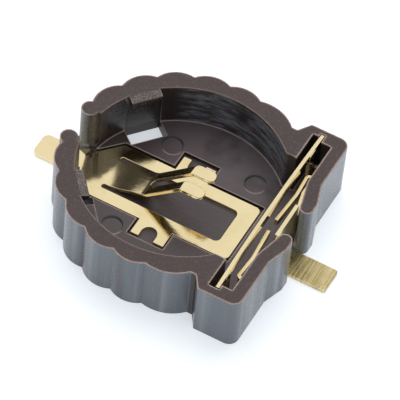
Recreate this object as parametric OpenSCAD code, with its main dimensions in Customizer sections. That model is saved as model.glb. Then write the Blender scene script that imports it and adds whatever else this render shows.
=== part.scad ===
// Holder for a 12.5 mm coin cell, soldered flat on a board.
// The part stands on the board plane z = 0, with the cell's axis at x = y = 0.
// The negative tab points to -X and the positive tab to +X.

/* [Cell space] */
// Radius of the round space that the cell drops into
cavity_r = 6.35; // [6.3:0.05:6.4]
// Thickness of the housing's floor
floor_t = 0.8; // [0.75:0.05:0.85]
// Height of the housing above the board
housing_h = 3.9; // [3.8:0.05:4.1]

/* [Scalloped ring] */
// Radius from the ring's centre to the crest of a scallop
crest_r = 7.5; // [7.45:0.05:7.6]
// Radius of one scallop's own curve
scallop_r = 1.75; // [1.6:0.05:1.9]
// Angle from one scallop to the next
scallop_pitch = 18; // [17.5:0.5:18.5]
// Angle of the first scallop from the +X axis
scallop_start = 85; // [84:1:86]
// Angle of the wide scallop beside the contact block
wide_scallop_angle = 66; // [65:1:67]

/* [Contact block] */
// Half the length of the block along Y
block_half = 7.12; // [7.1:0.01:7.2]
// Where the block's outer face stands
block_x = 7.55; // [7.5:0.05:7.6]
// Radius of the block's outer corners
block_corner_r = 0.65; // [0.5:0.05:0.7]
// Half the gap between the two finger tips
finger_gap = 0.95; // [0.92:0.01:1.0]
// Radius of a finger's round tip
finger_tip_r = 0.43; // [0.4:0.01:0.44]

/* [Contacts] */
// Thickness of the contact sheet
sheet_t = 0.22; // [0.2:0.01:0.24]
// Width of the two solder tabs
tab_w = 1.75; // [1.6:0.05:1.8]
// Reach of the negative tab from the cell's axis
neg_tab_x = 9.65; // [9.2:0.05:10]
// Reach of the positive tab from the cell's axis
pos_tab_x = 10.3; // [9.8:0.05:10.6]
// Height of the tongue's contact pads, at their upper face
pad_top = 3.58; // [3.3:0.02:3.6]

/* [Hidden] */
$fn = 48;
eps = 0.01;

plastic = [0.33, 0.29, 0.28];
gold = [0.86, 0.76, 0.48];

// ring
ring_x = -0.15;
scallop_count = 6;
ring_core_r = crest_r - 0.6;
wide_scallop_r = 2.6;
wide_crest_r = crest_r + 0.12;

// posts on either side of the slit that the cell is pushed out through
slit_half = 0.72;
post_r = 0.55;
post_x = -6.98;
tab_way_h = 1.15;

// retaining lugs, and the core holes below them
lug_angle = 140;
lug_w = 1.95;
lug_r = 5.73;
lug_t = 0.46;
lug_slope = 0.1;
core_w = 2.3;
core_in_r = 5.06;
core_out_r = 6.66;

// slot that the positive contact stands in
shoulder_x = 5.3;
shoulder_y = 4.4;
leaf_pocket_x = 6.0;
leaf_pocket_y = 6.55;
wall_in_x = 6.68;
wall_pocket_y = 6.2;
notch_w = 0.34;
notch_h = 0.78;
flare_y = 3.2;
finger_x = 8;
flare_x = finger_x - 2 * finger_tip_r;
foot_hole_y = [4.5, 6.05];

// floor recess and ejector marks
recess_z = 0.5;
recess_gap = 0.12;
pin_mark_r = 0.62;
pin_mark_d = 0.05;
pin_marks = [[-2.45, 3.6], [3.2, 3.6], [-2.6, -3.55], [3.2, -3.6]];

// negative contact
plate_half = 2.2;
plate_x = [-6.2, 4.42];
plate_corner_r = 0.35;
taper_x = -4.95;
neck_half = 0.85;
frame_x = [-4.5, 3.35];
window_half = 1.33;
leg_x = [[-1.48, -0.95], [0.05, 0.72]];
leg_end = 3.35;
leg_root = 2.4;
plate_mid = recess_z + sheet_t / 2;
tongue_root_half = 1.03;
tongue_half = 0.95;
slit_end_x = -1.93;
finger_slit_half = 0.34;
pad_half = 1.1;
pad_x = [0.5, 1.85];
pad_r = 0.33;
bump_x = 1.4;
bump_r = 0.7;
bump_h = 0.09;

// positive contact
leaf_end = 6.6;
leaf_shift = 0.15;
leaf_mid_x = 5.73;
leaf_end_x = 5.84;
leaf_h = 0.62;
leaf_top = housing_h - 0.02;
leg_y = [4.95, 5.62];
wing_x = wall_in_x - 0.02 - sheet_t / 2;
wing_z = [1.2, 2.0];
arm_z = [2.3, 2.8];
arm_x = 6.17;
arm_end_y = 4.2;
arm_knee = [6.27, 2.75];
arm_tip = [6.11, 0.45];
riser_x = 6.98;
riser_half = 1.3;
riser_top = housing_h - 0.04;
riser_bend_r = 0.34;

// ---- bent sheet -------------------------------------------------------

function unit(v) = v / norm(v);
function turned(v) = [-v[1], v[0]];

// Direction and length from a path's point to the sheet's face.
function mitre(p, i) =
    i == 0 ? turned(unit(p[1] - p[0])) :
    i == len(p) - 1 ? turned(unit(p[i] - p[i - 1])) :
    let (a = turned(unit(p[i] - p[i - 1])),
         b = turned(unit(p[i + 1] - p[i])),
         m = unit(a + b))
    m / (m * a);

// Outline of a sheet of thickness t bent along the path p.
function ribbon(p, t) = concat(
    [for (i = [0 : len(p) - 1]) p[i] + mitre(p, i) * t / 2],
    [for (i = [len(p) - 1 : -1 : 0]) p[i] - mitre(p, i) * t / 2]);

// Points along an arc, for the bends of a path.
function arc(c, r, from, to, steps = 6) =
    [for (i = [0 : steps]) let (a = from + (to - from) * i / steps) c + r * [cos(a), sin(a)]];

// A sheet that stands on edge: its path lies in plan, between two heights.
module standing_sheet(path, z) {
    translate([0, 0, z[0]])
        linear_extrude(z[1] - z[0])
            polygon(ribbon(path, sheet_t));
}

// A sheet that is bent up and down: its path lies in the XZ plane.
module lying_sheet(path, half) {
    translate([0, half, 0])
        rotate([90, 0, 0])
            linear_extrude(2 * half)
                polygon(ribbon(path, sheet_t));
}

module both_sides() {
    children();
    mirror([0, 1, 0]) children();
}

// A flat rectangle with round corners on its +X side, or on both sides.
module round_plate(x, half, r, both = false) {
    inner = both ? x[0] + r : x[0];
    union() {
        translate([inner, -half])
            square([x[1] - r - inner, 2 * half]);
        translate([x[1] - r - eps, r - half])
            square([r + eps, 2 * (half - r)]);
        for (s = [-1, 1])
            translate([x[1] - r, s * (half - r)])
                circle(r);
        if (both) {
            translate([x[0], r - half])
                square([r + eps, 2 * (half - r)]);
            for (s = [-1, 1])
                translate([x[0] + r, s * (half - r)])
                    circle(r);
        }
    }
}

// ---- housing ----------------------------------------------------------

module ring_outline() {
    translate([ring_x, 0]) {
        circle(ring_core_r);
        for (s = [-1, 1], i = [0 : scallop_count - 1])
            rotate(s * (scallop_start + i * scallop_pitch))
                translate([crest_r - scallop_r, 0])
                    circle(scallop_r);
    }
    for (s = [-1, 1])
        rotate(s * wide_scallop_angle)
            translate([wide_crest_r - wide_scallop_r, 0])
                circle(wide_scallop_r);
}

module block_outline() {
    x0 = 4.9;
    polygon([
        [3.6, -6.3], [4.35, -6.3], [x0, -block_half], [block_x - block_corner_r, -block_half],
        [block_x - block_corner_r, block_half], [x0, block_half], [4.35, 6.3], [3.6, 6.3]]);
    for (s = [-1, 1])
        translate([block_x - block_corner_r, s * (block_half - block_corner_r)])
            circle(block_corner_r);
    translate([block_x - block_corner_r - eps, block_corner_r - block_half])
        square([block_corner_r + eps, 2 * (block_half - block_corner_r)]);
    both_sides() finger_swell();
}

// The outer face swells towards each finger's tip.
module finger_swell() {
    tip = [finger_x - finger_tip_r, finger_gap + finger_tip_r];
    translate(tip)
        circle(finger_tip_r);
    polygon([[7, tip[1]], [finger_x, tip[1]], [finger_x, 1.95], [finger_x - 0.14, 2.35], [block_x, 3.3], [7, 3.3]]);
}

module finger_way() {
    // clears the inner faces of the fingers, which flare out to round tips
    tip_y = finger_gap + finger_tip_r;
    difference() {
        polygon([
            [wall_in_x - eps, -flare_y], [flare_x, -tip_y], [9, -tip_y],
            [9, tip_y], [flare_x, tip_y], [wall_in_x - eps, flare_y]]);
        for (s = [-1, 1])
            translate([finger_x - finger_tip_r, s * tip_y])
                circle(finger_tip_r);
    }
}

module slot_outline() {
    translate([4.2, -shoulder_y])
        square([wall_in_x - 4.2, 2 * shoulder_y]);
    translate([shoulder_x, -leaf_pocket_y])
        square([leaf_pocket_x - shoulder_x, 2 * leaf_pocket_y]);
    translate([leaf_pocket_x - eps, -wall_pocket_y])
        square([wall_in_x - leaf_pocket_x + eps, 2 * wall_pocket_y]);
}

module lug() {
    // section across the lug, drawn outwards from the cell's axis
    section = [
        [core_out_r + 0.2, housing_h], [lug_r + 0.55, housing_h], [lug_r + 0.06, housing_h - lug_slope],
        [lug_r, housing_h - lug_slope - 0.06], [lug_r, housing_h - lug_t + 0.08],
        [lug_r + 0.08, housing_h - lug_t], [core_out_r + 0.2, housing_h - lug_t - 0.1]];
    rotate(lug_angle)
        translate([0, lug_w / 2, 0])
            rotate([90, 0, 0])
                linear_extrude(lug_w)
                    polygon(section);
}

module lug_core() {
    rotate(lug_angle) {
        translate([core_in_r, -core_w / 2, -1])
            cube([core_out_r - core_in_r, core_w, housing_h - lug_t + 0.9]);
    }
}

module push_out_slit() {
    translate([-9, -slit_half, floor_t - 0.3])
        cube([3, 2 * slit_half, housing_h]);
    translate([-9, -tab_w / 2 - 0.12, -1])
        cube([9 + plate_x[0] + 0.3, tab_w + 0.24, tab_way_h + 1]);
    // clears the square wall ends, so that the round posts show
    translate([-9, -slit_half - post_r, tab_way_h])
        cube([3, 2 * (slit_half + post_r), housing_h]);
}

module posts() {
    both_sides()
        translate([post_x, slit_half + post_r, tab_way_h - eps])
            cylinder(h = housing_h - tab_way_h + eps, r = post_r);
}

module recess_outline() {
    g = recess_gap;
    polygon([
        [plate_x[0] - 0.5, -neck_half - g], [plate_x[0], -neck_half - g],
        [taper_x, -plate_half - g], [plate_x[1] + g, -plate_half - g],
        [plate_x[1] + g, plate_half + g], [taper_x, plate_half + g],
        [plate_x[0], neck_half + g], [plate_x[0] - 0.5, neck_half + g]]);
    translate([leg_x[0][0] - g, -leg_end - 2 * g])
        square([leg_x[1][1] - leg_x[0][0] + 2 * g, 2 * (leg_end + 2 * g)]);
}

module housing() {
    color(plastic)
    difference() {
        union() {
            difference() {
                linear_extrude(housing_h) {
                    ring_outline();
                    block_outline();
                }
                translate([0, 0, floor_t])
                    cylinder(h = housing_h, r = cavity_r);
                translate([0, 0, floor_t])
                    linear_extrude(housing_h)
                        slot_outline();
                push_out_slit();
                both_sides() lug_core();
            }
            posts();
            both_sides() lug();
        }
        // end notches that hold the leaf
        translate([leaf_end_x - notch_w / 2, leaf_shift - leaf_end - 0.05, housing_h - notch_h])
            cube([notch_w, 2 * leaf_end + 0.1, housing_h]);
        // way for the riser, and the gap between the fingers
        translate([0, 0, floor_t])
            linear_extrude(housing_h)
                finger_way();
        translate([riser_x - sheet_t / 2 - 0.04, -finger_gap, -1])
            cube([2, 2 * finger_gap, housing_h + 2]);
        // openings below the ends of the positive contact
        both_sides()
            translate([shoulder_x + 0.05, foot_hole_y[0], -1])
                cube([wall_in_x - shoulder_x - 0.1, foot_hole_y[1] - foot_hole_y[0], 3]);
        // bed of the negative contact
        translate([0, 0, recess_z])
            linear_extrude(1)
                recess_outline();
        for (p = pin_marks)
            translate([p[0], p[1], floor_t - pin_mark_d])
                cylinder(h = 1, r = pin_mark_r);
    }
}

// ---- negative contact -------------------------------------------------

module leg_pair() {
    // two legs with a round arch between them
    arch_r = (leg_x[1][0] - leg_x[0][1]) / 2;
    arch_x = (leg_x[1][0] + leg_x[0][1]) / 2;
    difference() {
        translate([leg_x[0][0], plate_half - eps])
            square([leg_x[1][1] - leg_x[0][0], leg_end - plate_half]);
        translate([arch_x - arch_r, leg_root + arch_r])
            square([2 * arch_r, leg_end]);
        translate([arch_x, leg_root + arch_r])
            circle(arch_r);
    }
}

module plate_outline() {
    difference() {
        union() {
            round_plate([taper_x, plate_x[1]], plate_half, plate_corner_r);
            polygon([
                [plate_x[0], -neck_half], [taper_x + eps, -plate_half],
                [taper_x + eps, plate_half], [plate_x[0], neck_half]]);
            both_sides() leg_pair();
        }
        difference() {
            round_plate(frame_x, window_half, plate_corner_r);
            translate([frame_x[0] - 1, -tongue_root_half])
                square([1.6, 2 * tongue_root_half]);
        }
        // round ends of the slots beside the tongue
        for (s = [-1, 1])
            translate([frame_x[0], s * (tongue_root_half + window_half) / 2])
                circle((window_half - tongue_root_half) / 2);
    }
}

function tongue_path() =
    let (knee = [slit_end_x - 0.02, plate_mid + 0.6],
         top = pad_top - sheet_t / 2,
         rise = top - knee[1],
         crest = [knee[0] + rise / tan(42), top])
    concat(
        [[frame_x[0] - 0.1, plate_mid], [frame_x[0] + 0.4, plate_mid + 0.02],
         [frame_x[0] + 1.1, plate_mid + 0.16], [knee[0] - 0.75, plate_mid + 0.42]],
        [knee + [-0.2, -0.07], knee + [0.12, 0.07]],
        [crest + [-0.2, -0.14], crest + [-0.02, -0.02], crest + [0.2, 0.03]],
        [[pad_x[1] - 0.3, top + 0.01], [pad_x[1] + 0.1, top - 0.06]]);

module tongue_outline() {
    difference() {
        union() {
            polygon([
                [frame_x[0] - 0.1, -tongue_root_half], [slit_end_x, -tongue_half],
                [pad_x[0], -tongue_half - 0.03], [pad_x[0], tongue_half + 0.03],
                [slit_end_x, tongue_half], [frame_x[0] - 0.1, tongue_root_half]]);
            both_sides() pad_outline();
        }
        translate([slit_end_x + finger_slit_half, 0])
            circle(finger_slit_half);
        translate([slit_end_x + finger_slit_half, -finger_slit_half])
            square([5, 2 * finger_slit_half]);
    }
}

module pad_outline() {
    mid = (pad_half + finger_slit_half) / 2;
    translate([0, mid])
        round_plate([pad_x[0] - 0.2, pad_x[1]], (pad_half - finger_slit_half) / 2, pad_r, both = true);
}

module negative_contact() {
    color(gold) {
        translate([0, 0, recess_z])
            linear_extrude(sheet_t)
                plate_outline();
        intersection() {
            lying_sheet(tongue_path(), 2);
            linear_extrude(housing_h)
                tongue_outline();
        }
        // contact bumps on the two pads
        both_sides()
            translate([bump_x, (pad_half + finger_slit_half) / 2, pad_top + bump_h - bump_r])
                intersection() {
                    sphere(bump_r);
                    translate([-1, -1, bump_r - bump_h - 0.1])
                        cube([2, 2, 1]);
                }
        intersection() {
            lying_sheet([
                [plate_x[0] + 0.1, plate_mid], [plate_x[0] - 0.25, plate_mid],
                [plate_x[0] - 0.45, plate_mid - 0.06], [plate_x[0] - 1.05, sheet_t / 2 + 0.05],
                [plate_x[0] - 1.25, sheet_t / 2], [-neg_tab_x, sheet_t / 2]], 2);
            translate([0, 0, -1])
                linear_extrude(3)
                    mirror([1, 0])
                        round_plate([-plate_x[0] - 0.1, neg_tab_x], tab_w / 2, 0.42);
        }
    }
}

// ---- positive contact -------------------------------------------------

function leaf_x(y) = leaf_mid_x + (leaf_end_x - leaf_mid_x) * pow((y - leaf_shift) / leaf_end, 2);

function leaf_path(from, to, steps) =
    [for (i = [0 : steps]) let (y = from + (to - from) * i / steps) [leaf_x(y), y]];

// Wing along the block's wall, from the riser to where it leaves the wall.
function wing_path(end) =
    [[riser_x, 0], [riser_x, riser_half], [wing_x + 0.18, 2.3], [wing_x, flare_y - 0.1], [wing_x, end]];

function link_path() =
    let (r = (wing_x - leaf_end_x) / 2)
    concat(
        [[wing_x, flare_y]],
        arc([wing_x - r, leg_y[1]], r, 0, 180, 8),
        [[leaf_end_x, leg_y[0]]]);

function arm_path() =
    let (r = (wing_x - arm_x) / 2)
    concat(
        [[wing_x, flare_y]],
        arc([wing_x - r, arm_end_y], r, 0, 180, 8),
        [arm_knee, arm_tip]);

module positive_contact() {
    color(gold) {
        standing_sheet(
            leaf_path(leaf_shift - leaf_end, leaf_shift + leaf_end, 12),
            [leaf_top - leaf_h, leaf_top]);
        both_sides() {
            // the leaf's foot, its link to the wing, and the spring arm
            standing_sheet([[leaf_end_x, leg_y[0]], [leaf_end_x, leg_y[1]]], [wing_z[0], leaf_top - 0.1]);
            standing_sheet(link_path(), wing_z);
            standing_sheet(arm_path(), arm_z);
            standing_sheet(wing_path(arm_end_y - 0.4), [wing_z[0], arm_z[1]]);
            standing_sheet([[riser_x, 0], [riser_x, riser_half]], [wing_z[0], riser_top]);
        }
        intersection() {
            lying_sheet(concat(
                [[riser_x, arm_z[1]]],
                arc([riser_x + riser_bend_r, sheet_t / 2 + riser_bend_r], riser_bend_r, 180, 270),
                [[pos_tab_x, sheet_t / 2]]), 2);
            translate([0, 0, -1])
                linear_extrude(housing_h + 1)
                    round_plate([riser_x - 1, pos_tab_x], tab_w / 2, 0.15);
        }
    }
}

housing();
negative_contact();
positive_contact();
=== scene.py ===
"""Finishes, table, light and camera for a holder of a 12.5 mm coin cell."""

import logging
import math
from collections.abc import Iterable
from dataclasses import dataclass
from enum import Enum
from typing import Any

import bmesh
import bpy
from mathutils import Matrix, Vector


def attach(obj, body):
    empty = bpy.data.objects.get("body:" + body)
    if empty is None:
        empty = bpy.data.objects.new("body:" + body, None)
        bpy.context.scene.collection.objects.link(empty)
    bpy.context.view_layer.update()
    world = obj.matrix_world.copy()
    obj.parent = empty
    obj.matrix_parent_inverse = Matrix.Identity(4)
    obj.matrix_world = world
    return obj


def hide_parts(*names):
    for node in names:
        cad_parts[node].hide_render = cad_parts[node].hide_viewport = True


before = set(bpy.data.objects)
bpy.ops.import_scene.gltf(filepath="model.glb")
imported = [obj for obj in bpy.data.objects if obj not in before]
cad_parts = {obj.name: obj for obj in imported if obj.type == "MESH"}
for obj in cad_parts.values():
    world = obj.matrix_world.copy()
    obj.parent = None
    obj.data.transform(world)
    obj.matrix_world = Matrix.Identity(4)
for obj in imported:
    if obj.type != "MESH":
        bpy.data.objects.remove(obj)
log = logging.getLogger("coin_cell_holder")

MM = 0.001
# Points nearer than this, in millimetres, are one point.
SAME_POINT = 1e-4

Colour = tuple[float, float, float]


class Grain(Enum):
    """Direction in which a sheet was rolled or brushed."""

    ALONG_X = (1.5, 60.0, 1.5)
    ALONG_Y = (60.0, 1.5, 1.5)


class Signal:
    """An output socket on which shader maths is written as Python expressions."""

    def __init__(self, shader: "Shader", socket: bpy.types.NodeSocket) -> None:
        """Wraps a socket.

        Args:
            shader: The material that the socket belongs to.
            socket: The output socket.
        """
        self.shader = shader
        self.socket = socket

    def _math(self, operation: str, *values: "Signal | float") -> "Signal":
        """Adds a Math node.

        Args:
            operation: The node's operation.
            values: What feeds its sockets, in order.

        Returns:
            The node's result.
        """
        sockets = dict(enumerate(values))
        return self.shader.read("ShaderNodeMath", 0, {"operation": operation}, sockets)

    def __add__(self, other: "Signal | float") -> "Signal":
        """This plus the other."""
        return self._math("ADD", self, other)

    __radd__ = __add__

    def __sub__(self, other: "Signal | float") -> "Signal":
        """This less the other."""
        return self._math("SUBTRACT", self, other)

    def __rsub__(self, other: "Signal | float") -> "Signal":
        """The other less this."""
        return self._math("SUBTRACT", other, self)

    def __mul__(self, other: "Signal | float") -> "Signal":
        """This times the other."""
        return self._math("MULTIPLY", self, other)

    __rmul__ = __mul__

    def __truediv__(self, other: "Signal | float") -> "Signal":
        """This over the other."""
        return self._math("DIVIDE", self, other)

    def __rtruediv__(self, other: "Signal | float") -> "Signal":
        """The other over this."""
        return self._math("DIVIDE", other, self)

    def __pow__(self, other: "Signal | float") -> "Signal":
        """This to the power of the other."""
        return self._math("POWER", self, other)

    def __abs__(self) -> "Signal":
        """The size of this, without its sign."""
        return self._math("ABSOLUTE", self)

    def above(self, start: float, full: float) -> "Signal":
        """A soft step.

        Args:
            start: The value at which the step is still 0.
            full: The value at which it reaches 1. It may lie below start.

        Returns:
            The step, from 0 to 1.
        """
        step = self.shader.read(
            "ShaderNodeMapRange",
            0,
            {"interpolation_type": "SMOOTHSTEP"},
            {"Value": self, "From Min": min(start, full), "From Max": max(start, full)},
        )
        return step if start < full else 1 - step

    def clamped(self) -> "Signal":
        """This, held between 0 and 1."""
        return self._math("MINIMUM", self._math("MAXIMUM", self, 0.0), 1.0)


Value = Signal | float | tuple | Vector
Point = tuple[Signal, Signal, Signal]


class Shader:
    """One material or world, and the nodes that make it."""

    def __init__(self, owner: bpy.types.Material | bpy.types.World) -> None:
        """Clears the owner's node tree.

        Args:
            owner: The material or world.
        """
        owner.use_nodes = True
        self.owner = owner
        self.tree = owner.node_tree
        self.tree.nodes.clear()

    @classmethod
    def material(cls, name: str) -> "Shader":
        """A new material of that name."""
        return cls(bpy.data.materials.new(name))

    def node(
        self,
        kind: str,
        settings: dict[str, Any] | None = None,
        sockets: dict[str | int, Value] | None = None,
    ) -> bpy.types.Node:
        """Adds any node.

        Args:
            kind: The node's type.
            settings: Its properties, set before its sockets.
            sockets: The value or link of each input socket, by name or number.

        Returns:
            The node.
        """
        node = self.tree.nodes.new(kind)
        for key, value in (settings or {}).items():
            setattr(node, key, value)
        for key, value in (sockets or {}).items():
            if isinstance(value, Signal):
                self.tree.links.new(value.socket, node.inputs[key])
            elif node.inputs[key].type == "RGBA" and len(value) == 3:
                node.inputs[key].default_value = (*value, 1.0)
            else:
                node.inputs[key].default_value = value
        return node

    def read(
        self,
        kind: str,
        output: str | int,
        settings: dict[str, Any] | None = None,
        sockets: dict[str | int, Value] | None = None,
    ) -> Signal:
        """Adds a node as node() does.

        Args:
            kind: The node's type.
            output: The output socket that is wanted, by name or number.
            settings: The node's properties.
            sockets: The value or link of each input socket.

        Returns:
            The output socket.
        """
        return Signal(self, self.node(kind, settings, sockets).outputs[output])

    def place(self) -> Signal:
        """The point's place on the piece, in millimetres."""
        point = self.read("ShaderNodeTexCoord", "Object")
        scaling = {"Vector": point, "Scale": 1 / MM}
        return self.read("ShaderNodeVectorMath", "Vector", {"operation": "SCALE"}, scaling)

    def parts(self, vector: Signal) -> Point:
        """The vector's three numbers."""
        node = self.node("ShaderNodeSeparateXYZ", None, {0: vector})
        return tuple(Signal(self, node.outputs[i]) for i in range(3))

    def stretched(self, vector: Signal, scale: tuple[float, float, float]) -> Signal:
        """The vector, scaled along each axis."""
        settings = {"operation": "MULTIPLY"}
        return self.read("ShaderNodeVectorMath", "Vector", settings, {0: vector, 1: scale})

    def noise(
        self, vector: Signal, scale: float, detail: float = 2.0, roughness: float = 0.5
    ) -> Signal:
        """Fractal noise.

        Args:
            vector: Where the noise is read, in millimetres.
            scale: Features per millimetre.
            detail: Octaves of finer detail.
            roughness: How strong the finer octaves are.

        Returns:
            The noise, from 0 to 1 with its middle at a half.
        """
        sockets = {"Vector": vector, "Scale": scale, "Detail": detail, "Roughness": roughness}
        return self.read("ShaderNodeTexNoise", 0, None, sockets)

    def blend(self, amount: Value, first: Value, second: Value) -> Signal:
        """A colour between two.

        Args:
            amount: 0 for the first colour, 1 for the second.
            first: The first colour.
            second: The second colour.

        Returns:
            The mixed colour.
        """
        sockets = {0: amount, 6: first, 7: second}
        return self.read("ShaderNodeMix", 2, {"data_type": "RGBA"}, sockets)

    def layered(self, colour: Value, layers: Iterable[tuple[Signal, Value]]) -> Value:
        """Lays colours over each other.

        Args:
            colour: The lowest colour.
            layers: Each further layer's cover, from 0 to 1, and its colour.

        Returns:
            The colour that shows.
        """
        for cover, layer in layers:
            colour = self.blend(cover, colour, layer)
        return colour

    def bump(self, height: Signal, depth: float, normal: Signal | None = None) -> Signal:
        """A normal that follows a height.

        Args:
            height: The height, from 0 to 1.
            depth: What a height of 1 stands for, in millimetres.
            normal: The normal that it starts from.

        Returns:
            The bumped normal.
        """
        sockets: dict[str | int, Value] = {
            "Height": height,
            "Distance": depth * MM,
            "Strength": 1.0,
        }
        if normal is not None:
            sockets["Normal"] = normal
        return self.read("ShaderNodeBump", 0, None, sockets)

    def round_edges(self, radius: float) -> tuple[Signal, Signal]:
        """Edges that look rounded.

        Args:
            radius: The edges' radius, in millimetres.

        Returns:
            The normal, and a mask that is 0 on flat faces and grows towards an edge.
        """
        normal = self.read("ShaderNodeBevel", 0, {"samples": 8}, {"Radius": radius * MM})
        flat = self.read("ShaderNodeNewGeometry", "True Normal")
        settings = {"operation": "DOT_PRODUCT"}
        same = self.read("ShaderNodeVectorMath", "Value", settings, {0: normal, 1: flat})
        return normal, (1 - same).clamped()

    def finish(self, kind: str, sockets: dict[str | int, Value]) -> Any:
        """Adds the surface shader and the output.

        Args:
            kind: The surface shader's type.
            sockets: The values and links of its sockets.

        Returns:
            The material or world.
        """
        return self.output(self.read(kind, 0, None, sockets))

    def output(self, surface: Signal) -> Any:
        """Links the surface to a new output and returns the material or world."""
        use = "World" if isinstance(self.owner, bpy.types.World) else "Material"
        self.node(f"ShaderNodeOutput{use}", None, {"Surface": surface})
        return self.owner


@dataclass(frozen=True)
class Zones:
    """Masks, from 0 to 1, of where each kind of the housing's surfaces lies."""

    upright: Signal
    outer: Signal
    bore: Signal
    low: Signal
    bed: Signal
    coarse: Signal
    at_top: Signal


@dataclass(frozen=True)
class Patterns:
    """What the mould left on the housing's surfaces, each from 0 to 1."""

    cloud: Signal
    grain: Signal
    speck: Signal
    flutes: Signal
    scuffs: Signal
    patches: Signal
    tooling: Signal

    @classmethod
    def on(cls, s: Shader, place: Signal, wrapped: Signal) -> "Patterns":
        """Reads the patterns.

        Args:
            s: The material.
            place: The point, in millimetres.
            wrapped: The way round the ring, the height and the radius, in millimetres.

        Returns:
            The patterns.
        """
        return cls(
            cloud=s.noise(place, 0.6, 3.0),
            grain=s.noise(place, 14.0, 3.0, 0.65),
            speck=s.noise(place, 7.0, 4.0, 0.7),
            flutes=s.noise(s.stretched(wrapped, (1.25, 0.03, 0.0)), 1.0),
            scuffs=s.noise(s.stretched(wrapped, (0.55, 3.0, 0.0)), 1.0, 5.0, 0.68),
            patches=s.noise(s.stretched(wrapped, (0.30, 0.55, 0.0)), 1.0),
            tooling=s.noise(s.stretched(place, (0.35, 13.0, 1.0)), 1.0, 3.0, 0.7),
        )


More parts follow.
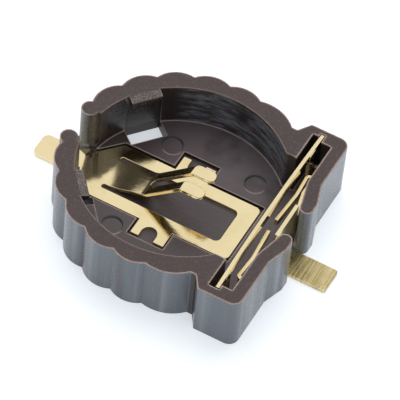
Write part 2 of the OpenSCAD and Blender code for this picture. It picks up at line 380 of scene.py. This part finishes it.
@dataclass(frozen=True)
class MouldedPlastic:
    """Glass-filled plastic: satin outside, glossier inside, with pale flash at its top edge.

    Lengths are in millimetres.
    """

    body: Colour = (0.046, 0.025, 0.025)
    inside: Colour = (0.022, 0.014, 0.014)
    # painted highlight: pale bluish streaks along the bore's scuffs
    scuff_highlight: Colour = (0.205, 0.225, 0.270)
    # painted sheen on the floor
    painted_floor_sheen: Colour = (0.135, 0.112, 0.122)
    floor: Colour = (0.064, 0.047, 0.050)
    # painted reflection over the satin finish: lighter and bluer than the body, standing for the
    # pale surroundings that the outer walls reflect
    outer_satin_and_reflection: Colour = (0.165, 0.190, 0.228)
    # painted highlight for the pale vertical bands on the flutes
    flute_highlight: Colour = (0.350, 0.375, 0.410)
    dust: Colour = (0.105, 0.080, 0.075)
    # pale moulding flash at the top edge; also the colour of the painted highlight lines
    flash_and_highlight: Colour = (0.62, 0.46, 0.39)
    grit: Colour = (0.27, 0.235, 0.215)
    # painted shade on the ejector marks' steps
    mark_step_shade: Colour = (0.006, 0.004, 0.004)
    refraction: float = 1.58
    edge_r: float = 0.10
    wear_r: float = 0.24
    relief: float = 0.014
    soft: float = 0.1
    top: float = 3.9
    top_band: float = 0.16
    floor_z: float = 0.8
    bed_z: float = 0.5
    cavity_r: float = 6.35
    bore_r: float = 6.5
    ring_r: float = 6.8
    lug_r: tuple[float, float] = (5.6, 6.30)
    lug_x: float = -3.2
    slit_x: float = -6.3
    post_y: float = 1.5
    slot_x: tuple[float, float] = (4.0, 6.95)
    slot_y: float = 6.75
    marks: tuple[tuple[float, float], ...] = (
        (-2.45, 3.6),
        (3.2, 3.6),
        (-2.6, -3.55),
        (3.2, -3.6),
    )
    mark_r: float = 0.62
    from_light: tuple[float, float] = (-0.37, 0.93)

    def make(self) -> bpy.types.Material:
        """Builds the material.

        Returns:
            The material.
        """
        s = Shader.material("moulded_plastic")
        place = s.place()
        x, y, z = s.parts(place)
        radius = (x * x + y * y) ** 0.5
        around = s.read("ShaderNodeMath", 0, {"operation": "ARCTAN2"}, {0: y, 1: x}) * self.cavity_r
        wrapped = s.read("ShaderNodeCombineXYZ", 0, None, {0: around, 1: z, 2: radius})
        normal, _ = s.round_edges(self.edge_r)
        _, edge = s.round_edges(self.wear_r)
        on = self._zones(s, (x, y, z), radius)
        left = Patterns.on(s, place, wrapped)
        ring, shade = self._mark_rings(x, y)

        # painted highlight: pale streaks along the scuffs on the bore wall, only on its +X side
        scuff_highlight_cover = left.scuffs.above(0.36, 0.66) * left.patches.above(0.31, 0.54) * x.above(-3.5, -2.4)
        # painted sheen: the floor lighter towards the back right, in cloudy patches
        lit = (y + x * 0.4).above(0.5, 5.5) * left.cloud.above(0.25, 0.60)
        worn = (1 - on.upright) * left.speck.above(0.48, 0.72)
        dusty = worn * 0.70 + (left.cloud - 0.5) * 0.5 * (1 - on.outer)
        rim = edge.above(0.03, 0.14) * on.at_top * (0.90 + 1.8 * (left.speck - 0.5))
        rim = rim * (0.35 + 0.65 * radius.above(6.6, 6.9))
        # painted highlight: a pale line along the edges at the floor's level
        bed_edge_highlight = edge.above(0.04, 0.18) * z.above(self.floor_z - 0.2, self.floor_z - 0.1)
        # painted highlight: a pale line along the foot of the bore wall
        foot_highlight = edge.above(0.02, 0.10) * on.bore * z.above(self.floor_z + 0.25, self.floor_z + 0.05)
        colour = s.layered(
            s.blend(on.upright, self.body, self.inside),
            (
                (on.low, self.floor),
                # painted sheen on the floor towards the back right
                (on.low * lit, self.painted_floor_sheen),
                # painted highlight on the bore's scuffs
                (on.bore * scuff_highlight_cover, self.scuff_highlight),
                (on.bed * left.tooling.above(0.50, 0.72) * 0.55, self.dust),
                # painted reflection: the outer walls take the lighter, bluer colour of the
                # surroundings they reflect
                (on.outer, self.outer_satin_and_reflection),
                # painted highlight and shade: lighter and darker vertical bands on the flutes
                (on.outer * left.flutes.above(0.50, 0.70) * 0.85, self.flute_highlight),
                (on.outer * left.flutes.above(0.48, 0.32) * 0.60, self.body),
                # painted shade: the outer walls darker in the valleys between the flutes and along
                # their edges
                (on.outer * edge.above(0.03, 0.16) * 0.55, self.body),
                (dusty.clamped(), self.dust),
                (on.coarse * left.grain.above(0.44, 0.62) * 0.85, self.grit),
                (rim.clamped(), self.flash_and_highlight),
                # painted highlight along the floor's edges, kept off the ejector marks
                (bed_edge_highlight * on.low * (1 - ring) * 0.85, self.flash_and_highlight),
                # painted shade on the side of each ejector mark's step away from the light, painted
                # highlight on the side towards it
                (ring * on.low * shade.above(0.0, 0.7), self.mark_step_shade),
                (ring * on.low * shade.above(-0.3, -0.9) * 0.40, self.flash_and_highlight),
                # painted highlight at the foot of the bore wall
                (foot_highlight * 0.5, self.flash_and_highlight),
            ),
        )
        rough = 0.44 + 0.30 * (left.grain - 0.5) + 0.14 * (left.cloud - 0.5)
        rough = rough - 0.18 * on.outer - 0.20 * on.bore - 0.10 * on.low
        height = left.grain * (0.5 + on.coarse) + left.speck * 0.35 + left.cloud * 0.8
        height = height + left.flutes * on.outer * 1.2
        height = height + (left.scuffs * on.bore + left.tooling * on.bed) * 0.8
        return s.finish(
            "ShaderNodeBsdfPrincipled",
            {
                "Base Color": colour,
                "Roughness": rough.clamped(),
                "Normal": s.bump(height, self.relief, normal),
                "IOR": self.refraction,
            },
        )

    def _zones(self, s: Shader, place: Point, radius: Signal) -> Zones:
        """Tells the housing's surfaces apart.

        Args:
            s: The material.
            place: The point's X, Y and Z.
            radius: Its distance from the cell's axis.

        Returns:
            The masks.
        """
        x, y, z = place
        soft, (slot_from, slot_to), (lug_from, lug_to) = self.soft, self.slot_x, self.lug_r
        _, _, up = s.parts(s.read("ShaderNodeTexCoord", "Normal"))
        upright = 1 - abs(up).above(0.3, 0.7)
        level = 1 - upright
        in_slot = (
            x.above(slot_from, slot_from + soft)
            * x.above(slot_to, slot_to - soft)
            * abs(y).above(self.slot_y, self.slot_y - soft)
        )
        bore = radius.above(self.bore_r, self.bore_r - 0.08) * x.above(-6.2, -6.0)
        post = (
            x.above(self.slit_x, self.slit_x - soft)
            * abs(y).above(self.post_y, self.post_y - 0.15)
            * z.above(self.floor_z + 0.2, self.floor_z + 0.4)
        )
        lug = (
            radius.above(lug_from, lug_from + soft)
            * radius.above(lug_to, lug_to - 0.06)
            * x.above(self.lug_x, self.lug_x - soft)
            * z.above(self.top - self.top_band, self.top - 0.12)
        )
        return Zones(
            upright=upright,
            outer=upright * radius.above(self.ring_r, self.ring_r + soft) * (1 - in_slot),
            bore=upright * bore * z.above(self.floor_z, self.floor_z + 0.05),
            low=level * z.above(self.floor_z + 0.3, self.floor_z + 0.1),
            bed=level * z.above(self.bed_z + 0.2, self.bed_z + 0.1),
            coarse=upright * post + level * lug,
            at_top=z.above(self.top - self.top_band, self.top - 0.10),
        )

    def _mark_rings(self, x: Signal, y: Signal) -> tuple[Signal | float, Signal | float]:
        """The steps round the ejector marks.

        Args:
            x: The point's X.
            y: The point's Y.

        Returns:
            A mask of the steps, and how far each faces away from the light, from -1 to 1, which
            sets where shade and highlight are painted on them.
        """
        rings: Signal | float = 0.0
        shade: Signal | float = 0.0
        away_x, away_y = self.from_light
        for mark_x, mark_y in self.marks:
            dx, dy = x - mark_x, y - mark_y
            out = (dx * dx + dy * dy) ** 0.5
            inner = out.above(self.mark_r - 0.08, self.mark_r - 0.02)
            ring = inner * out.above(self.mark_r + 0.15, self.mark_r + 0.08)
            rings = ring + rings
            shade = ring * (dy * away_y + dx * away_x) / self.mark_r + shade
        return rings, shade


@dataclass(frozen=True)
class GoldPlate:
    """Thin gold over a rolled sheet, with fine lines from the rollers and bright cut edges.

    The bright cut edges are a painted highlight. Lengths are in millimetres.
    """

    name: str
    grain: Grain
    colour: Colour = (0.83, 0.70, 0.42)
    deep: Colour = (0.66, 0.53, 0.26)
    # painted highlight on the cut edges
    edge: Colour = (0.97, 0.90, 0.68)
    scored: Colour = (0.36, 0.27, 0.07)
    tab_x: float = 7.45
    tab_z: float = 0.40
    edge_r: float = 0.05
    relief: float = 0.008

    def make(self) -> bpy.types.Material:
        """Builds the material.

        Returns:
            The material.
        """
        s = Shader.material(self.name)
        place = s.place()
        x, _, z = s.parts(place)
        cloud = s.noise(place, 0.9, 3.0)
        pits = s.noise(place, 9.0, 3.0, 0.6)
        lines = s.noise(s.stretched(place, self.grain.value), 0.25, 3.0, 0.6)
        scores = s.noise(s.stretched(place, (9.0, 0.35, 1.0)), 1.0, 4.0, 0.75)
        tab = x.above(self.tab_x, self.tab_x + 0.3) * z.above(self.tab_z, self.tab_z - 0.06)
        normal, edge = s.round_edges(self.edge_r)
        colour = s.layered(
            self.colour,
            (
                ((cloud - 0.42).clamped() * 0.9, self.deep),
                (tab * (0.25 + scores.above(0.42, 0.62) * 0.6), self.scored),
                # painted highlight: the cut edges pale and bright
                (edge.above(0.02, 0.14) * 0.7, self.edge),
            ),
        )
        rough = 0.10 + 0.06 * (lines - 0.5) + 0.08 * (cloud - 0.5)
        rough = rough + 0.18 * tab + 0.05 * pits.above(0.55, 0.75)
        waves = s.noise(place, 1.1)
        height = lines * 0.20 + pits * 0.08 + waves * 0.6 + scores * tab * 1.6
        return s.finish(
            "ShaderNodeBsdfPrincipled",
            {
                "Base Color": colour,
                "Metallic": 1.0,
                "Roughness": rough.clamped(),
                "Normal": s.bump(height, self.relief, normal),
            },
        )


@dataclass
class DressedNode:
    """A piece of the frame that keeps its shape and gets a finish."""

    node: str
    finish: MouldedPlastic

    def dress(self) -> bpy.types.Object:
        """Gives the piece its finish.

        Returns:
            The piece.
        """
        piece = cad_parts[self.node]
        material = self.finish.make()
        if not piece.material_slots:
            piece.data.materials.append(material)
        for slot in piece.material_slots:
            slot.material = material
        return piece


def finished(
    name: str, shape: bmesh.types.BMesh, material: bpy.types.Material
) -> bpy.types.Object:
    """Turns a shape into a piece that rides on the holder.

    Args:
        name: The piece's name.
        shape: Its mesh, in millimetres and in place.
        material: Its finish.

    Returns:
        The piece.
    """
    bmesh.ops.remove_doubles(shape, verts=shape.verts, dist=SAME_POINT)
    bmesh.ops.recalc_face_normals(shape, faces=shape.faces)
    bmesh.ops.scale(shape, vec=(MM, MM, MM), verts=shape.verts)
    mesh = bpy.data.meshes.new(name)
    shape.to_mesh(mesh)
    shape.free()
    mesh.materials.append(material)
    piece = bpy.data.objects.new(name, mesh)
    bpy.context.scene.collection.objects.link(piece)
    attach(piece, "root")
    return piece


@dataclass
class BentSheet:
    """A contact bent from sheet, whose bends run smoothly while its cut edges stay crisp.

    Lengths are in millimetres and angles in degrees.
    """

    node: str
    name: str
    crisp_from: float = 38.0
    merge: float = 0.002

    def build(self, material: bpy.types.Material) -> bpy.types.Object:
        """Joins the frame's faces into one skin and smooths its bends.

        Args:
            material: The sheet's finish.

        Returns:
            The sheet, which stands for the frame's own.
        """
        shape = bmesh.new()
        shape.from_mesh(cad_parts[self.node].data)
        bmesh.ops.scale(shape, vec=(1 / MM, 1 / MM, 1 / MM), verts=shape.verts)
        bmesh.ops.remove_doubles(shape, verts=shape.verts, dist=self.merge)
        bmesh.ops.dissolve_degenerate(shape, edges=shape.edges, dist=self.merge)
        limit = math.radians(self.crisp_from)
        for face in shape.faces:
            face.smooth = True
        for edge in shape.edges:
            edge.smooth = edge.is_manifold and edge.calc_face_angle() < limit
        piece = finished(self.name, shape, material)
        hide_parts(self.node)
        return piece


@dataclass
class Web:
    """A plain web of the housing with softened edges.

    Lengths are in millimetres and angles in degrees.
    """

    name: str
    low: tuple[float, float, float]
    high: tuple[float, float, float]
    turn: float = 0.0
    softening: float = 0.03

    def build(self, material: bpy.types.Material) -> bpy.types.Object:
        """Makes the web.

        Args:
            material: Its finish.

        Returns:
            The web.
        """
        shape = bmesh.new()
        bmesh.ops.create_cube(shape, size=1)
        low, high = Vector(self.low), Vector(self.high)
        bmesh.ops.scale(shape, vec=high - low, verts=shape.verts)
        bmesh.ops.bevel(
            shape,
            geom=list(shape.edges),
            offset=self.softening,
            affect="EDGES",
            segments=2,
            profile=0.5,
            material=-1,
        )
        bmesh.ops.translate(shape, vec=(low + high) / 2, verts=shape.verts)
        turned = Matrix.Rotation(math.radians(self.turn), 3, "Z")
        bmesh.ops.rotate(shape, cent=(0, 0, 0), matrix=turned, verts=shape.verts)
        return finished(self.name, shape, material)


@dataclass(frozen=True)
class HousingWebs:
    """The webs behind and below the lugs' core holes, and below the slot's two ends.

    The block below the front core hole closes it and stands in for the shade there. Lengths are in
    millimetres and angles in degrees.
    """

    bottom: float = 0.01
    core_turn: float = 140.0
    core_r: tuple[float, float] = (6.38, 6.72)
    core_half: float = 1.17
    core_top: float = 3.33
    # the block below the front core hole, which stands in for shade there
    shade_plug_r: tuple[float, float] = (5.02, 6.42)
    shade_plug_from: float = -0.68
    shade_plug_top: float = 0.79
    slot_x: tuple[float, float] = (5.32, 6.61)
    slot_y: tuple[float, float] = (4.47, 6.08)
    slot_top: float = 0.78

    def build(self, material: bpy.types.Material) -> list[bpy.types.Object]:
        """Makes the webs.

        Args:
            material: Their finish.

        Returns:
            The webs.
        """
        webs = [
            # painted shade: a block that closes the front core hole from below so that it shows
            # dark, as it would in shade
            Web(
                "shade_plug_front",
                (self.shade_plug_r[0], self.shade_plug_from, self.bottom),
                (self.shade_plug_r[1], self.core_half, self.shade_plug_top),
                -self.core_turn,
            )
        ]
        for side, sign in (("front", -1), ("back", 1)):
            low_y, high_y = sorted(sign * y for y in self.slot_y)
            webs += [
                Web(
                    f"core_web_{side}",
                    (self.core_r[0], -self.core_half, self.bottom),
                    (self.core_r[1], self.core_half, self.core_top),
                    sign * self.core_turn,
                ),
                Web(
                    f"slot_web_{side}",
                    (self.slot_x[0], low_y, self.bottom),
                    (self.slot_x[1], high_y, self.slot_top),
                ),
            ]
        return [web.build(material) for web in webs]


@dataclass
class Table:
    """The pale table that the holder stands on. Lengths are in metres."""

    half: float = 1.5
    drop: float = 0.00001
    colour: Colour = (0.82, 0.835, 0.85)
    glow: float = 0.50
    glow_colour: Colour = (0.95, 1.0, 1.06)

    def build(self) -> bpy.types.Object:
        """Lays the table's top just below the board plane.

        Returns:
            The table.
        """
        bpy.ops.mesh.primitive_plane_add(size=2 * self.half, location=(0, 0, -self.drop))
        table = bpy.context.object
        table.name = "table"
        s = Shader.material("table_top")
        matt = s.read("ShaderNodeBsdfDiffuse", 0, None, {"Color": self.colour})
        path = s.node("ShaderNodeLightPath")
        by_camera, by_gloss = (
            Signal(s, path.outputs[f"Is {kind} Ray"]) for kind in ("Camera", "Glossy")
        )
        strength = (by_camera + by_gloss).clamped() * self.glow
        emission = {"Color": self.glow_colour, "Strength": strength}
        glow = s.read("ShaderNodeEmission", 0, None, emission)
        surface = s.read("ShaderNodeAddShader", 0, None, {0: matt, 1: glow})
        table.data.materials.append(s.output(surface))
        return table


@dataclass(frozen=True)
class Softbox:
    """A large square lamp that faces the holder and doesn't show in it. Lengths are in metres."""

    name: str
    place: tuple[float, float, float]
    size: float
    radiance: float
    colour: Colour = (1.0, 1.0, 1.0)

    def build(self) -> bpy.types.Object:
        """Hangs the lamp.

        Returns:
            The lamp.
        """
        data = bpy.data.lights.new(self.name, "AREA")
        data.shape = "SQUARE"
        data.size = self.size
        data.energy = self.radiance * math.pi * self.size**2
        data.color = self.colour
        lamp = bpy.data.objects.new(self.name, data)
        lamp.location = self.place
        lamp.rotation_mode = "QUATERNION"
        lamp.rotation_quaternion = Vector(self.place).to_track_quat("Z", "Y")
        lamp.visible_glossy = False
        bpy.context.scene.collection.objects.link(lamp)
        return lamp


@dataclass(frozen=True)
class Studio:
    """The room's even light, the white that shows behind it, and its lamps."""

    fill: float = 0.50
    tint: Colour = (0.97, 0.99, 1.0)
    backdrop: Colour = (1.0, 1.0, 1.0)
    lamps: tuple[Softbox, ...] = (Softbox("overhead_lamp", (-0.20, 0.42, 0.70), 0.9, 1.6),)

    def build(self) -> None:
        """Makes the world and the lamps."""
        world = bpy.data.worlds.new("room")
        bpy.context.scene.world = world
        s = Shader(world)
        path = s.node("ShaderNodeLightPath")
        by_camera, by_gloss, by_glass = (
            Signal(s, path.outputs[f"Is {kind} Ray"])
            for kind in ("Camera", "Glossy", "Transmission")
        )
        shown = (by_camera + by_gloss + by_glass).clamped()
        even, white = (
            s.read("ShaderNodeBackground", 0, None, {"Color": colour, "Strength": strength})
            for colour, strength in ((self.tint, self.fill), (self.backdrop, 1.0))
        )
        s.output(s.read("ShaderNodeMixShader", 0, None, {0: shown, 1: even, 2: white}))
        for lamp in self.lamps:
            lamp.build()


@dataclass(frozen=True)
class ProductCamera:
    """A long lens that looks down on the holder.

    Angles are in degrees and lengths in millimetres. The camera sees from near to far, in metres.
    """

    azimuth: float = 23.90
    elevation: float = 51.74
    roll: float = 6.08
    distance: float = 214.3
    target: tuple[float, float, float] = (1.935, -1.400, 3.9)
    lens: float = 329.8
    sensor: float = 36.0
    near: float = 0.01
    far: float = 10.0

    def build(self) -> bpy.types.Object:
        """Places the camera and makes it the scene's own.

        Returns:
            The camera.
        """
        a, e, roll = (math.radians(v) for v in (self.azimuth, self.elevation, self.roll))
        back = Vector((math.sin(a) * math.cos(e), -math.cos(a) * math.cos(e), math.sin(e)))
        level = (-back).cross(Vector((0, 0, 1))).normalized()
        up = level.cross(-back)
        right = level * math.cos(roll) + up * math.sin(roll)
        top = up * math.cos(roll) - level * math.sin(roll)
        data = bpy.data.cameras.new("product_camera")
        data.lens = self.lens
        data.sensor_width = self.sensor
        data.clip_start, data.clip_end = self.near, self.far
        camera = bpy.data.objects.new("product_camera", data)
        axes = Matrix((right, top, back)).transposed().to_4x4()
        stand = (Vector(self.target) + back * self.distance) * MM
        camera.matrix_world = Matrix.Translation(stand) @ axes
        bpy.context.scene.collection.objects.link(camera)
        bpy.context.scene.camera = camera
        return camera


def main() -> None:
    """Builds the scene piece by piece."""
    logging.basicConfig(level=logging.INFO, format="%(name)s: %(message)s")
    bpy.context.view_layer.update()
    bpy.context.scene.view_settings.view_transform = "Standard"
    ProductCamera().build()
    Studio().build()
    Table().build()
    housing = DressedNode("housing", MouldedPlastic()).dress()
    plastic = housing.material_slots[0].material
    gold_negative = GoldPlate("gold_negative", Grain.ALONG_X).make()
    gold_positive = GoldPlate("gold_positive", Grain.ALONG_Y).make()
    pieces = [
        housing,
        BentSheet("negative_contact", "negative_sheet").build(gold_negative),
        BentSheet("positive_contact", "positive_sheet").build(gold_positive),
        *HousingWebs().build(plastic),
    ]
    for piece in pieces:
        log.info("%s: %d faces", piece.name, len(piece.data.polygons))


if __name__ == "__main__":
    main()
